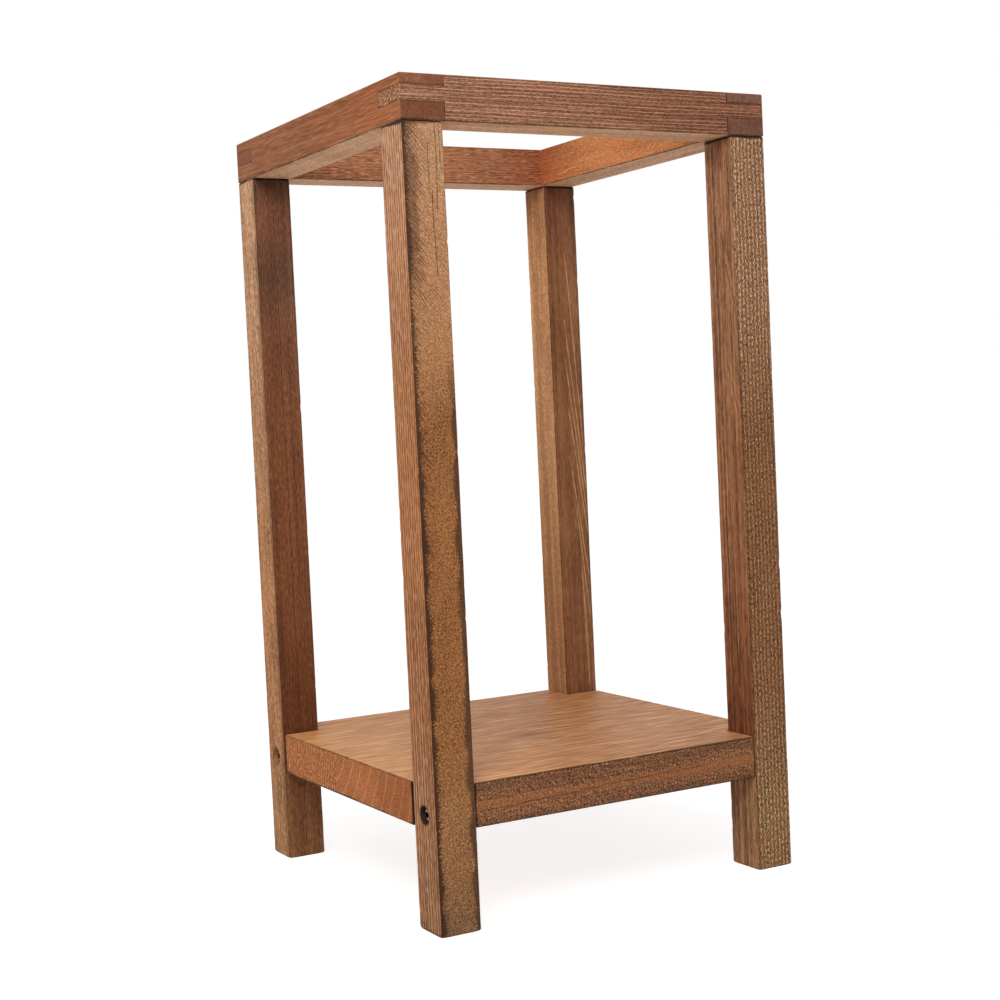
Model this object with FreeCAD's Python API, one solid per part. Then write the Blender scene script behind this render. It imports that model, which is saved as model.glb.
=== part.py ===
import FreeCAD, Part
import os

# A square flower stand: an open top frame with finger-jointed corners on four square legs,
# and a thick notched shelf screwed between the legs. Millimetres, +X right along the front rail,
# +Y to the back, +Z up, origin on the floor at the centre of the footprint.

# Driving dimensions of the stand
STAND_WIDTH = 280.0
STAND_DEPTH = 280.0
STAND_HEIGHT = 540.0

# Top frame stock, and the three layers of its corner joint from the top down
RAIL_WIDTH = 31.0
RAIL_HEIGHT = 29.0
TOP_FINGER = 7.0
TENON_THICKNESS = 10.0
GLUE_LINE = 0.05

# Leg stock
LEG_WIDTH = 29.0
LEG_DEPTH = 31.0

# Shelf, glued up from a front and a back board
SHELF_UNDERSIDE = 66.0
SHELF_THICKNESS = 29.0
SHELF_SETBACK = 0.5
SHELF_LEG_GAP = 2.5
FRONT_BOARD_WIDTH = 153.5

# Eased edges of the timber
FRAME_EASE = 1.0
LEG_EASE = 1.2
SHELF_EASE = 1.0

# Pan-head screws, alike at the shelf and the frame, and the holes that take them
SCREW_HEAD_DIAMETER = 10.0
SCREW_HEAD_HEIGHT = 3.2
SCREW_HEAD_BEVEL = 1.2
SCREW_SHANK_DIAMETER = 5.0
SCREW_CORE_DIAMETER = 3.6
SCREW_SHANK_LENGTH = 20.0
SCREW_LENGTH = 50.0
SCREW_TIP_LENGTH = 6.0
SCREW_TIP_DIAMETER = 0.8
SOCKET_ACROSS_FLATS = 4.0
SOCKET_DEPTH = 1.9
COUNTERBORE_DIAMETER = 12.0
HEAD_RECESS = 1.8
SHANK_CLEARANCE = 0.25
PILOT_CLEARANCE = 0.05
PILOT_END_ROOM = 1.0
SHELF_SCREW_ABOVE_UNDERSIDE = 10.0

# Places worked out from the driving dimensions
HALF_WIDTH = STAND_WIDTH / 2
HALF_DEPTH = STAND_DEPTH / 2
FRAME_UNDERSIDE = STAND_HEIGHT - RAIL_HEIGHT
OPENING_HALF_WIDTH = HALF_WIDTH - RAIL_WIDTH
OPENING_HALF_DEPTH = HALF_DEPTH - RAIL_WIDTH
TENON_TOP = STAND_HEIGHT - TOP_FINGER
TENON_BOTTOM = TENON_TOP - TENON_THICKNESS
LEG_INNER_X = HALF_WIDTH - LEG_WIDTH
LEG_INNER_Y = HALF_DEPTH - LEG_DEPTH
LEG_CENTRE_X = HALF_WIDTH - LEG_WIDTH / 2
LEG_CENTRE_Y = HALF_DEPTH - LEG_DEPTH / 2
SHELF_HALF_WIDTH = HALF_WIDTH - SHELF_SETBACK
SHELF_HALF_DEPTH = HALF_DEPTH - SHELF_SETBACK
SHELF_NECK_HALF_DEPTH = LEG_INNER_Y - SHELF_LEG_GAP
SHELF_TOP = SHELF_UNDERSIDE + SHELF_THICKNESS
BOARD_JOINT_Y = FRONT_BOARD_WIDTH - SHELF_HALF_DEPTH
SHELF_SCREW_HEIGHT = SHELF_UNDERSIDE + SHELF_SCREW_ABOVE_UNDERSIDE
HEAD_SEAT = HEAD_RECESS + SCREW_HEAD_HEIGHT
SHANK_STEP = (SCREW_SHANK_DIAMETER - SCREW_CORE_DIAMETER) / 2

UP = FreeCAD.Vector(0, 0, 1)
DOWN = FreeCAD.Vector(0, 0, -1)
SIDES = (-1, 1)
CORNER_NAMES = {(-1, -1): "front_left", (1, -1): "front_right", (-1, 1): "back_left", (1, 1): "back_right"}


def box_between(low, high):
    """A box from its lowest to its highest corner."""
    size = [top - bottom for bottom, top in zip(low, high)]
    return Part.makeBox(size[0], size[1], size[2], FreeCAD.Vector(*low))


def span(side, inner, outer):
    """The range from inner to outer on one side of the middle, lowest value first."""
    return tuple(sorted((side * inner, side * outer)))


def ease(solid, size, keep_sharp=None):
    """Takes the arrises off a solid, apart from those whose middle keep_sharp picks out."""
    edges = [
        edge for edge in solid.Edges
        if keep_sharp is None or not keep_sharp(edge.CenterOfMass)
    ]
    return solid.makeChamfer(size, edges)


def save(shape, node):
    """Writes one sub-part, after a test that it is sound."""
    if not shape.isValid():
        raise ValueError("unsound solid: " + node)
    shape.exportStep("parts/" + node + ".step")
    print(node, len(shape.Solids), "solids", round(shape.Volume), "mm3")


def screw_profile():
    """Half section of a screw on the XZ plane: seat of the head at z = 0, tip down, head up."""
    head = SCREW_HEAD_DIAMETER / 2
    shank = SCREW_SHANK_DIAMETER / 2
    core = SCREW_CORE_DIAMETER / 2
    tip = SCREW_TIP_DIAMETER / 2
    taper_top = -SCREW_LENGTH + SCREW_TIP_LENGTH

    def point(radius, height):
        return FreeCAD.Vector(radius, 0, height)

    outline = [
        point(0, -SCREW_LENGTH),
        point(tip, -SCREW_LENGTH),
        point(core, taper_top),
        point(core, -SCREW_SHANK_LENGTH - SHANK_STEP),
        point(shank, -SCREW_SHANK_LENGTH),
        point(shank, 0),
        point(head, 0),
        point(head, SCREW_HEAD_HEIGHT - SCREW_HEAD_BEVEL),
        point(head - SCREW_HEAD_BEVEL, SCREW_HEAD_HEIGHT),
        point(0, SCREW_HEAD_HEIGHT),
    ]
    return Part.Face(Part.makePolygon(outline + outline[:1]))


def hexagon_socket():
    """The six-sided key socket that is cut into the head."""
    corner_radius = SOCKET_ACROSS_FLATS / 3 ** 0.5
    floor = SCREW_HEAD_HEIGHT - SOCKET_DEPTH
    turn = FreeCAD.Rotation(UP, 60)
    corner = FreeCAD.Vector(corner_radius, 0, 0)
    corners = []
    for _ in range(7):
        corners.append(corner + FreeCAD.Vector(0, 0, floor))
        corner = turn.multVec(corner)
    return Part.Face(Part.makePolygon(corners)).extrude(UP * (2 * SOCKET_DEPTH))


def screw_hole(timber):
    """What a screw removes: counterbore, clearance hole through the first timber, pilot hole in the next."""
    clear_radius = SCREW_SHANK_DIAMETER / 2 + SHANK_CLEARANCE
    pilot_radius = SCREW_CORE_DIAMETER / 2 + PILOT_CLEARANCE
    clear_depth = max(timber - HEAD_SEAT, SCREW_SHANK_LENGTH + SHANK_STEP)
    seat = FreeCAD.Vector(0, 0, 0)
    counterbore = Part.makeCylinder(COUNTERBORE_DIAMETER / 2, 2 * HEAD_SEAT, seat, UP)
    clearance = Part.makeCylinder(clear_radius, clear_depth, seat, DOWN)
    pilot = Part.makeCylinder(pilot_radius, SCREW_LENGTH + PILOT_END_ROOM, seat, DOWN)
    return counterbore.fuse([clearance, pilot])


def frame_screw_place(side_x, side_y):
    """The head seat of a frame screw, on the leg's axis, with the tip pointing down."""
    seat = FreeCAD.Vector(side_x * LEG_CENTRE_X, side_y * LEG_CENTRE_Y, STAND_HEIGHT - HEAD_SEAT)
    return FreeCAD.Placement(seat, FreeCAD.Rotation())


def shelf_screw_place(side_x, side_y):
    """The head seat of a shelf screw, in the leg's outer face, with the tip pointing inwards."""
    seat = FreeCAD.Vector(side_x * (HALF_WIDTH - HEAD_SEAT), side_y * LEG_CENTRE_Y, SHELF_SCREW_HEIGHT)
    outwards = FreeCAD.Vector(side_x, 0, 0)
    return FreeCAD.Placement(seat, FreeCAD.Rotation(UP, outwards))


def at_every_corner(shape, place):
    """Copies of a shape at the four corners."""
    copies = []
    for side_y in SIDES:
        for side_x in SIDES:
            copy = shape.copy()
            copy.Placement = place(side_x, side_y)
            copies.append(copy)
    return copies


def frame_blank():
    """The whole top frame as one ring, with the edges that are eased after glueing."""
    outside = box_between(
        (-HALF_WIDTH, -HALF_DEPTH, FRAME_UNDERSIDE),
        (HALF_WIDTH, HALF_DEPTH, STAND_HEIGHT),
    )
    opening = box_between(
        (-OPENING_HALF_WIDTH, -OPENING_HALF_DEPTH, FRAME_UNDERSIDE),
        (OPENING_HALF_WIDTH, OPENING_HALF_DEPTH, STAND_HEIGHT),
    )

    def inner_corner(middle):
        upright = FRAME_UNDERSIDE + FRAME_EASE < middle.z < STAND_HEIGHT - FRAME_EASE
        return upright and abs(middle.x) < HALF_WIDTH - FRAME_EASE

    return ease(outside.cut(opening), FRAME_EASE, keep_sharp=inner_corner)


def tenon_rail_envelope(side_y):
    """The space of the front or back rail: between the side rails, with a tenon through each corner."""
    low_y, high_y = span(side_y, OPENING_HALF_DEPTH, HALF_DEPTH)
    between = box_between(
        (-OPENING_HALF_WIDTH, low_y, FRAME_UNDERSIDE),
        (OPENING_HALF_WIDTH, high_y, STAND_HEIGHT),
    )
    tenon = box_between(
        (-HALF_WIDTH, low_y, TENON_BOTTOM + GLUE_LINE),
        (HALF_WIDTH, high_y, TENON_TOP - GLUE_LINE),
    )
    return between.fuse(tenon).removeSplitter()


def finger_rail_envelope(side_x):
    """The space of a side rail: the full depth, with a slot for the tenon at each end."""
    low_x, high_x = span(side_x, OPENING_HALF_WIDTH, HALF_WIDTH)
    envelope = box_between(
        (low_x, -HALF_DEPTH, FRAME_UNDERSIDE),
        (high_x, HALF_DEPTH, STAND_HEIGHT),
    )
    for side_y in SIDES:
        low_y, high_y = span(side_y, OPENING_HALF_DEPTH - GLUE_LINE, HALF_DEPTH)
        slot = box_between((low_x, low_y, TENON_BOTTOM), (high_x, high_y, TENON_TOP))
        envelope = envelope.cut(slot)
    return envelope


def leg(side_x, side_y):
    """A square leg with every edge eased, from the floor to the underside of the frame."""
    low_x, high_x = span(side_x, LEG_INNER_X, HALF_WIDTH)
    low_y, high_y = span(side_y, LEG_INNER_Y, HALF_DEPTH)
    return ease(box_between((low_x, low_y, 0), (high_x, high_y, FRAME_UNDERSIDE)), LEG_EASE)


def shelf_blank():
    """The glued-up shelf: a slab whose corners are notched round the legs."""
    slab = box_between(
        (-SHELF_HALF_WIDTH, -SHELF_HALF_DEPTH, SHELF_UNDERSIDE),
        (SHELF_HALF_WIDTH, SHELF_HALF_DEPTH, SHELF_TOP),
    )
    for side_x in SIDES:
        for side_y in SIDES:
            low_x, high_x = span(side_x, LEG_INNER_X, SHELF_HALF_WIDTH)
            low_y, high_y = span(side_y, SHELF_NECK_HALF_DEPTH, SHELF_HALF_DEPTH)
            notch = box_between((low_x, low_y, SHELF_UNDERSIDE), (high_x, high_y, SHELF_TOP))
            slab = slab.cut(notch)

    def in_a_notch(middle):
        outer_end = abs(abs(middle.x) - SHELF_HALF_WIDTH) < SHELF_EASE / 2
        outer_side = abs(abs(middle.y) - SHELF_HALF_DEPTH) < SHELF_EASE / 2
        return not (outer_end or outer_side)

    return ease(slab, SHELF_EASE, keep_sharp=in_a_notch)


def shelf_board_envelope(low_y, high_y):
    """The strip of the shelf that one board makes."""
    return box_between(
        (-HALF_WIDTH, low_y, SHELF_UNDERSIDE),
        (HALF_WIDTH, high_y, SHELF_TOP),
    )


def main():
    os.makedirs("parts", exist_ok=True)

    screw = screw_profile().revolve(FreeCAD.Vector(0, 0, 0), UP, 360)
    screw = Part.makeSolid(screw.Shells[0]).cut(hexagon_socket())
    frame_holes = at_every_corner(screw_hole(RAIL_HEIGHT), frame_screw_place)
    shelf_holes = at_every_corner(screw_hole(LEG_WIDTH), shelf_screw_place)

    frame = frame_blank().cut(frame_holes)
    save(frame.common(tenon_rail_envelope(-1)), "front_rail")
    save(frame.common(tenon_rail_envelope(1)), "back_rail")
    save(frame.common(finger_rail_envelope(-1)), "left_rail")
    save(frame.common(finger_rail_envelope(1)), "right_rail")

    for (side_x, side_y), corner in CORNER_NAMES.items():
        save(leg(side_x, side_y).cut(frame_holes + shelf_holes), corner + "_leg")

    shelf = shelf_blank().cut(shelf_holes)
    save(shelf.common(shelf_board_envelope(-HALF_DEPTH, BOARD_JOINT_Y)), "shelf_front_board")
    save(shelf.common(shelf_board_envelope(BOARD_JOINT_Y, HALF_DEPTH)), "shelf_back_board")

    save(Part.makeCompound(at_every_corner(screw, shelf_screw_place)), "shelf_screws")
    save(Part.makeCompound(at_every_corner(screw, frame_screw_place)), "frame_screws")


main()
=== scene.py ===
import math
from dataclasses import dataclass, replace

import bmesh
import bpy
from mathutils import Matrix, Vector
from mathutils import noise as solid_noise


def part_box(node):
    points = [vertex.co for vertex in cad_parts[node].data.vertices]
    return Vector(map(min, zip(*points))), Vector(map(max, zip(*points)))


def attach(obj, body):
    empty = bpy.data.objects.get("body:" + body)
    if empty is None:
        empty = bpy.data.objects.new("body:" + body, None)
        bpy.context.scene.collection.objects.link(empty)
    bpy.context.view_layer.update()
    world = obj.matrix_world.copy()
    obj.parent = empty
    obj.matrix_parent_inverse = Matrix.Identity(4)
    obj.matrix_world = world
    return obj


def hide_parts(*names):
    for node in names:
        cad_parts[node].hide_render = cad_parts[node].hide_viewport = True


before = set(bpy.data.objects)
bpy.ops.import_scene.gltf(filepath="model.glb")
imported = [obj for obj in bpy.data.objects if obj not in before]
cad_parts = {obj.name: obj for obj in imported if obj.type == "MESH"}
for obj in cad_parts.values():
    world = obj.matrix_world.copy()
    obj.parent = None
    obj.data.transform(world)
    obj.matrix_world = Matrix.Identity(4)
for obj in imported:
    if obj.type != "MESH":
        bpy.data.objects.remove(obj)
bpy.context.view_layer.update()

# Units and axes: the frame is in metres, +X to the right along the front rail, +Y to the back, +Z up
MM = 0.001
X, Y, Z = 0, 1, 2
CLOSE = 0.01 * MM
VERT, EDGE = bmesh.types.BMVert, bmesh.types.BMEdge

# Joinery of the top frame
FRAME_LOW, FRAME_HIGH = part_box("left_rail")[0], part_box("right_rail")[1]
FRAME_INSIDE = (-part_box("left_rail")[1].x, -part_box("front_rail")[1].y)
TOP_FINGER = 7 * MM
TENON_THICKNESS = 10 * MM
TENON_TOP = FRAME_HIGH.z - TOP_FINGER
TENON_BOTTOM = TENON_TOP - TENON_THICKNESS

# Edges, eased by hand
FRAME_EASE = 0.9 * MM
JOINT_EASE = 0.2 * MM
LEG_EASE = 1.3 * MM
FOOT_EASE = 1.3 * MM
SHELF_EASE = 1.0 * MM
EASE_STEPS = 3
CONVEX_ANGLE = 0.1
SQUARE_ANGLE = math.radians(60)

# Long faces are divided into short ones, which take the screw holes and the legs' uneven wear
FACE_STEP = 3 * MM

# Wear of the legs' edges: how far they sink, how strongly nicks bite, and how long both run in mm
LEG_WEAR = 0.25 * MM
LEG_NICK = 1.5 * MM
NEAR_LEG_NICK = 2.5 * MM
SWAY_LENGTH = 22
NICK_LENGTH = 7
NICK_LEVEL = 0.42

# One foot has a corner split off
SPLIT_LEG = "front_left_leg"
SPLIT_WAY = (-0.6, 0.5, -0.62)
SPLIT_DEPTH = 2 * MM

# The shelf's notches stand clear of the legs' inner faces
SHELF_LEG_GAP = 2.5 * MM

# Screws: pan heads sunk in counterbores
COUNTERBORE_RADIUS = 6 * MM
HEAD_RADIUS = 5 * MM
HEAD_HEIGHT = 3.2 * MM
HEAD_SEAT = 5 * MM
HEAD_CHAMFER = 0.25 * MM
DOME_SHARES_AND_DROPS = ((0.72, 0.12 * MM), (0.88, 0.5 * MM), (0.97, 1.1 * MM), (1.0, 1.9 * MM))
SOCKET_SIDES = 6
SOCKET_RADIUS = 2.31 * MM
SOCKET_RIM = 2.75 * MM
SOCKET_DEPTH = 1.9 * MM
SHANK_RADIUS = 2.5 * MM
CORE_RADIUS = 1.8 * MM
SHANK_LENGTH = 20 * MM
NECK_LENGTH = 1 * MM
SCREW_LENGTH = 50 * MM
TIP_LENGTH = 6 * MM
TIP_RADIUS = 0.4 * MM
SHANK_CLEARANCE = 0.25 * MM
CORE_CLEARANCE = 0.05 * MM
CLEAR_DEPTH = SHANK_LENGTH + 2 * MM
HOLE_SPARE = 1 * MM
SCREW_STEPS = 48
SMOOTH_ANGLE = math.radians(35)
SHELF_SCREW_ABOVE_UNDERSIDE = 10 * MM

# Finish slots of the rails, the legs and the shelf boards
RAIL_FACE_SLOT, RAIL_UNDERSIDE_SLOT, END_SLOT, BORED_SLOT, RAIL_TOP_SLOT = range(5)
LEG_SIDE_SLOT, LEG_FRONT_SLOT = range(2)
SHELF_BROAD_SLOT, SHELF_EDGE_SLOT = range(2)


# Mesh helpers

def block(low, high):
    """A rectangular block between two corners."""
    bm = bmesh.new()
    size = Vector(high) - Vector(low)
    middle = (Vector(high) + Vector(low)) / 2
    bmesh.ops.create_cube(bm, size=1, matrix=Matrix.Translation(middle) @ Matrix.Diagonal((*size, 1)))
    return bm


def axis_vector(axis, length=1.0):
    arrow = Vector((0, 0, 0))
    arrow[axis] = length
    return arrow


def only(kind, parts):
    return [part for part in parts if isinstance(part, kind)]


def everything(bm):
    return bm.verts[:] + bm.edges[:] + bm.faces[:]


def cut_across(bm, axis, places):
    """Runs a line round the piece at each place along one axis."""
    for place in places:
        bmesh.ops.bisect_plane(
            bm, geom=everything(bm), plane_co=axis_vector(axis, place), plane_no=axis_vector(axis),
        )


def lengthen(bm, faces, step):
    """Draws faces out of the block by a step, as fingers and tongues are left standing."""
    made = bmesh.ops.extrude_face_region(bm, geom=faces)["geom"]
    bmesh.ops.translate(bm, verts=only(VERT, made), vec=step)
    bmesh.ops.delete(bm, geom=faces, context="FACES_ONLY")


def face_the_grain(bm, slots):
    """Gives each face the finish slot of the axis that it looks along; a pair is (backwards, forwards)."""
    bm.normal_update()
    for face in bm.faces:
        looks_along = max((X, Y, Z), key=lambda axis: abs(face.normal[axis]))
        slot = slots[looks_along]
        if isinstance(slot, tuple):
            slot = slot[face.normal[looks_along] > 0]
        face.material_index = slot


def ease(bm, edges, width, steps=EASE_STEPS):
    """Rounds the edges and returns the faces of the rounding."""
    return bmesh.ops.bevel(
        bm, geom=edges, offset=width, offset_type="OFFSET", affect="EDGES", segments=steps,
        profile=0.5, material=-1, clamp_overlap=True,
    )["faces"]


def chip(bm, corner):
    """Splits a foot's corner off along a flat that is set back from it."""
    way = Vector(SPLIT_WAY).normalized()
    flat = bmesh.ops.bisect_plane(
        bm, geom=everything(bm), plane_co=corner - way * SPLIT_DEPTH, plane_no=way, clear_outer=True,
    )
    bmesh.ops.edgeloop_fill(bm, edges=only(EDGE, flat["geom_cut"]), mat_nr=END_SLOT)


def wear(bm, worn, nick, seed):
    """Sinks the faces that are marked as worn a little unevenly, with a nick here and there."""
    bm.normal_update()
    moves = []
    for vert in bm.verts:
        normals = [face.normal for face in vert.link_faces if face[worn]]
        if not normals:
            continue
        place = vert.co / MM + Vector((seed, 0, 0))
        sway = 0.5 + 0.5 * solid_noise.noise(place / SWAY_LENGTH)
        bite = max(0.0, solid_noise.noise(place / NICK_LENGTH) - NICK_LEVEL)
        inward = -sum(normals, Vector()).normalized()
        moves.append((vert, inward * (LEG_WEAR * sway + nick * bite)))
    for vert, move in moves:
        vert.co += move


def steps_between(low, high, step):
    count = max(1, round((high - low) / step))
    return [low + (high - low) * number / count for number in range(1, count)]


def add_mesh(bm, name):
    """Puts a finished mesh into the scene as an object."""
    mesh = bpy.data.meshes.new(name)
    bm.to_mesh(mesh)
    bm.free()
    made = bpy.data.objects.new(name, mesh)
    bpy.context.collection.objects.link(made)
    return made


def stand_for(made, node, materials):
    """Gives a piece its materials and lets it ride in the place of its node."""
    for material in materials:
        made.data.materials.append(material)
    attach(made, "root")
    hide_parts(node)
    return made


def timber_piece(bm, node, finishes):
    """Turns a block into a named piece that stands for its node."""
    bmesh.ops.recalc_face_normals(bm, faces=bm.faces[:])
    return stand_for(add_mesh(bm, node + "_timber"), node, [finish.done() for finish in finishes])


# Pieces of timber

def convex_edges(bm):
    return [edge for edge in bm.edges if edge.is_manifold and edge.calc_face_angle_signed() > CONVEX_ANGLE]


def on_frame_arris(edge):
    """Whether an edge is one of the frame's own, eased after glue-up, and not a joint inside it."""
    middle = (edge.verts[0].co + edge.verts[1].co) / 2
    out_x = abs(abs(middle.x) - FRAME_HIGH.x) < CLOSE
    out_y = abs(abs(middle.y) - FRAME_HIGH.y) < CLOSE
    in_x = abs(abs(middle.x) - FRAME_INSIDE[X]) < CLOSE and abs(middle.y) < FRAME_INSIDE[Y] - CLOSE
    in_y = abs(abs(middle.y) - FRAME_INSIDE[Y]) < CLOSE and abs(middle.x) < FRAME_INSIDE[X] - CLOSE
    flat = min(abs(middle.z - FRAME_HIGH.z), abs(middle.z - FRAME_LOW.z)) < CLOSE
    return (out_x and out_y) or (flat and (out_x or out_y or in_x or in_y))


def joint_edges(bm):
    """The square edges that easing has left, which meet the next piece in a joint."""
    return [edge for edge in convex_edges(bm) if edge.calc_face_angle() > SQUARE_ANGLE]


def rail(node, length_axis, finishes):
    """A rail of the frame: along X a tenon is left standing at each end, along Y a pair of fingers."""
    low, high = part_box(node)
    is_finger = length_axis == Y
    shoulder = FRAME_INSIDE[length_axis]
    body_low, body_high = low.copy(), high.copy()
    body_low[length_axis], body_high[length_axis] = -shoulder, shoulder
    bm = block(body_low, body_high)
    cut_across(bm, Z, (TENON_BOTTOM, TENON_TOP))
    for side in (-1, 1):
        ends = []
        for face in bm.faces:
            middle = face.calc_center_median()
            is_tenon_height = TENON_BOTTOM < middle.z < TENON_TOP
            if abs(middle[length_axis] - side * shoulder) < CLOSE and is_tenon_height != is_finger:
                ends.append(face)
        for face in ends:
            lengthen(bm, [face], axis_vector(length_axis, side * (high[length_axis] - shoulder)))
    slots = [RAIL_FACE_SLOT, RAIL_FACE_SLOT, (RAIL_UNDERSIDE_SLOT, RAIL_TOP_SLOT)]
    slots[length_axis] = END_SLOT
    face_the_grain(bm, slots)
    ease(bm, [edge for edge in convex_edges(bm) if on_frame_arris(edge)], FRAME_EASE)
    ease(bm, joint_edges(bm), JOINT_EASE, steps=1)
    cut_across(bm, length_axis, steps_between(low[length_axis], high[length_axis], FACE_STEP))
    return timber_piece(bm, node, finishes)


def leg(node, finishes, nick, seed):
    """A square leg with its edges eased and worn; one leg also has a corner of its foot split off."""
    low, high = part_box(node)
    bm = block(low, high)
    worn = bm.faces.layers.int.new("worn")
    face_the_grain(bm, (LEG_SIDE_SLOT, LEG_FRONT_SLOT, END_SLOT))
    ease(bm, [edge for edge in bm.edges if edge.verts[0].co.z + edge.verts[1].co.z < CLOSE], FOOT_EASE)
    upright_or_top = []
    for edge in bm.edges:
        heights = [vert.co.z for vert in edge.verts]
        if max(heights) - min(heights) > CLOSE:
            upright_or_top.append(edge)
        elif min(heights) > high.z - CLOSE:
            upright_or_top.append(edge)
    for face in ease(bm, upright_or_top, LEG_EASE):
        face[worn] = 1
    for axis in (X, Y, Z):
        cut_across(bm, axis, steps_between(low[axis] + 2 * FOOT_EASE, high[axis] - 2 * FOOT_EASE, FACE_STEP))
    wear(bm, worn, nick, seed)
    if node == SPLIT_LEG:
        chip(bm, Vector((low.x, high.y, low.z)))
    return timber_piece(bm, node, finishes)


def shelf_board(node, glued_side, finishes):
    """A shelf board, notched round two legs; its glued edge stays sharp."""
    low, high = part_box(node)
    leg_low, leg_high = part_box("front_left_leg" if glued_side > 0 else "back_left_leg")
    if glued_side > 0:
        body_low = Vector((low.x, leg_high.y + SHELF_LEG_GAP, low.z))
        body_high = high.copy()
        tongue = low.y - body_low.y
        glue_line = high.y
    else:
        body_low = low.copy()
        body_high = Vector((high.x, leg_low.y - SHELF_LEG_GAP, high.z))
        tongue = high.y - body_high.y
        glue_line = low.y
    bm = block(body_low, body_high)
    cut_across(bm, X, (leg_high.x, -leg_high.x))
    bm.normal_update()
    between_legs = []
    for face in bm.faces:
        if face.normal.y * glued_side < -0.5 and abs(face.calc_center_median().x) < -leg_high.x:
            between_legs.append(face)
    lengthen(bm, between_legs, axis_vector(Y, tongue))
    face_the_grain(bm, (END_SLOT, SHELF_EDGE_SLOT, SHELF_BROAD_SLOT))
    shown = []
    for edge in convex_edges(bm):
        if abs(edge.verts[0].co.y + edge.verts[1].co.y - 2 * glue_line) > CLOSE:
            shown.append(edge)
    ease(bm, shown, SHELF_EASE)
    cut_across(bm, X, steps_between(low.x, high.x, FACE_STEP))
    cut_across(bm, Y, steps_between(low.y, high.y, FACE_STEP))
    return timber_piece(bm, node, finishes)


# Screws and the holes that they sit in

def screw_places():
    """Each screw's own frame: its Z axis points out of the timber and its origin lies on the surface."""
    places = {"frame_screws": [], "shelf_screws": []}
    for leg_node in ("front_left_leg", "front_right_leg", "back_left_leg", "back_right_leg"):
        low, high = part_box(leg_node)
        middle = (low + high) / 2
        down = Matrix.Translation((middle.x, middle.y, FRAME_HIGH.z))
        places["frame_screws"].append(down)
        side = math.copysign(1, middle.x)
        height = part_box("shelf_front_board")[0].z + SHELF_SCREW_ABOVE_UNDERSIDE
        outer_face = high.x if side > 0 else low.x
        turn = Matrix.Rotation(math.radians(90) * side, 4, "Y")
        places["shelf_screws"].append(Matrix.Translation((outer_face, middle.y, height)) @ turn)
    return places


def turned(profile, places):
    """A shape turned on a lathe from a profile of (radius, height) points, set down at each place."""
    bm = bmesh.new()
    for place in places:
        points = [bm.verts.new((radius, 0, height)) for radius, height in profile]
        edges = [bm.edges.new(pair) for pair in zip(points, points[1:])]
        bmesh.ops.spin(
            bm, geom=points + edges, cent=(0, 0, 0), axis=(0, 0, 1), angle=math.tau, steps=SCREW_STEPS,
            use_merge=True,
        )
        done = bm.faces.layers.int.get("done") or bm.faces.layers.int.new("done")
        fresh_faces = [face for face in bm.faces if not face[done]]
        fresh_verts = list({vert for face in fresh_faces for vert in face.verts})
        bmesh.ops.transform(bm, matrix=place, verts=fresh_verts)
        for face in fresh_faces:
            face[done] = 1
    bmesh.ops.remove_doubles(bm, verts=bm.verts[:], dist=CLOSE / 10)
    bmesh.ops.recalc_face_normals(bm, faces=bm.faces[:])
    return bm


def hole_profile():
    """The counterbore, the clearance for the shank and the pilot for the thread, from outside in."""
    clear = SHANK_RADIUS + SHANK_CLEARANCE
    pilot = CORE_RADIUS + CORE_CLEARANCE
    bottom = -HEAD_SEAT - SCREW_LENGTH - HOLE_SPARE
    return [
        (0, HOLE_SPARE),
        (COUNTERBORE_RADIUS, HOLE_SPARE),
        (COUNTERBORE_RADIUS, -HEAD_SEAT),
        (clear, -HEAD_SEAT),
        (clear, -HEAD_SEAT - CLEAR_DEPTH),
        (pilot, -HEAD_SEAT - CLEAR_DEPTH),
        (pilot, bottom),
        (0, bottom),
    ]


def hole_cutter(places):
    """Every screw hole as one shape to cut away from the timber."""
    bm = turned(hole_profile(), places["frame_screws"] + places["shelf_screws"])
    for face in bm.faces:
        face.material_index = BORED_SLOT
    return add_mesh(bm, "screw_holes")


def drill(pieces, cutter):
    for made in pieces:
        cut = made.modifiers.new("drill", "BOOLEAN")
        cut.operation = "DIFFERENCE"
        cut.solver = "EXACT"
        cut.material_mode = "INDEX"
        cut.object = cutter
    ready = bpy.context.evaluated_depsgraph_get()
    drilled = [bpy.data.meshes.new_from_object(made.evaluated_get(ready)) for made in pieces]
    for made, mesh in zip(pieces, drilled):
        made.modifiers.clear()
        made.data = mesh
    bpy.data.objects.remove(cutter)


def screw_profile():
    """A pan head with a domed rim, the plain shank, the thread's core and the point."""
    seat = -HEAD_SEAT
    top = seat + HEAD_HEIGHT
    return [
        (SOCKET_RIM, top),
        *((share * HEAD_RADIUS, top - drop) for share, drop in DOME_SHARES_AND_DROPS),
        (HEAD_RADIUS, seat + HEAD_CHAMFER),
        (HEAD_RADIUS - HEAD_CHAMFER, seat),
        (SHANK_RADIUS, seat),
        (SHANK_RADIUS, seat - SHANK_LENGTH),
        (CORE_RADIUS, seat - SHANK_LENGTH - NECK_LENGTH),
        (CORE_RADIUS, seat - SCREW_LENGTH + TIP_LENGTH),
        (TIP_RADIUS, seat - SCREW_LENGTH),
        (0, seat - SCREW_LENGTH),
    ]


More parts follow.
